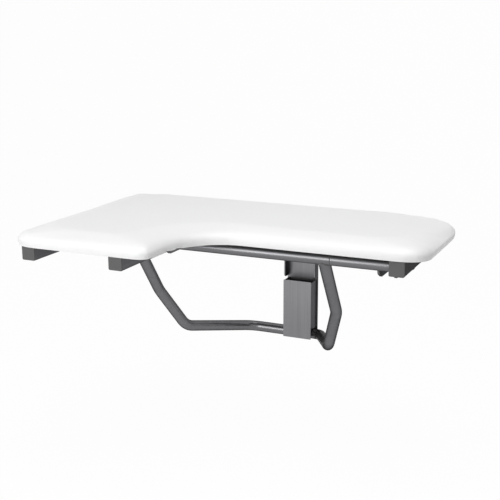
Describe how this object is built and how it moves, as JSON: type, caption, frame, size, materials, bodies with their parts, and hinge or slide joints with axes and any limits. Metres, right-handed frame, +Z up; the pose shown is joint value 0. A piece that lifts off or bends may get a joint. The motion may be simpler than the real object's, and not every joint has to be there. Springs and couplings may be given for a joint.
{
  "type": "fold down wall seat",
  "caption": "L-shaped padded seat on a square tube frame that folds up against the wall, with a bent tube leg whose foot slides up a wall guide.",
  "frame": {"origin": "on the wall face, at the centre of the four screw holes in the back of the guide plate", "axes": "+X along the wall to the right as a person faces the wall, +Y into the wall, +Z up"},
  "size_m": [0.838, 0.58, 0.35],
  "materials": {
    "satin_steel": "satin",
    "dark_steel": "satin",
    "white_vinyl": "soft matte",
    "dark_board": "sealed",
    "grey_plastic": "moulded",
    "white_nylon": "moulded"
  },
  "bodies": {
    "wall_set": {"guide_plate": "satin_steel", "hinge_bracket_left": "satin_steel", "hinge_bracket_right": "satin_steel", "hinge_bushes": "white_nylon"},
    "seat": {"wall_shaft": "satin_steel", "shaft_collars": "satin_steel", "collar_set_screws": "dark_steel", "frame_tube_left": "satin_steel", "frame_tube_right": "satin_steel", "frame_tube_middle": "satin_steel", "frame_cross_tube": "satin_steel", "tube_plugs_front": "grey_plastic", "tube_plugs_rear": "grey_plastic", "cross_tube_plug": "grey_plastic", "rail_rod": "satin_steel", "rail_stub_left": "satin_steel", "rail_stub_right": "satin_steel", "rod_spacers": "white_nylon", "seat_board": "dark_board", "board_screws": "dark_steel", "cushion": "white_vinyl"},
    "leg": {"leg_sleeve": "satin_steel", "sleeve_bushes": "grey_plastic", "leg_tube": "satin_steel"},
    "shoe": {"shoe_cover": "satin_steel", "slide_block": "white_nylon", "shoe_rivets": "satin_steel"}
  },
  "joints": [
    {"name": "seat_fold", "type": "hinge", "parent": "wall_set", "child": "seat", "pos_m": [0, -0.096, 0.17913], "axis": [-1, 0, 0], "range_deg": [0, 90]},
    {"name": "leg_pivot", "type": "hinge", "parent": "seat", "child": "leg", "pos_m": [0, -0.362, 0.17913], "axis": [1, 0, 0], "range_deg": [0, 49.8]},
    {"name": "shoe_pivot", "type": "hinge", "parent": "leg", "child": "shoe", "pos_m": [0, -0.0182, -0.1065], "axis": [1, 0, 0], "range_deg": [0, 40.4]}
  ],
  "couplings": [
    {"joint": "leg_pivot", "follows": "seat_fold", "ratio": 0.55271},
    {"joint": "shoe_pivot", "follows": "seat_fold", "ratio": 0.44729}
  ]
}
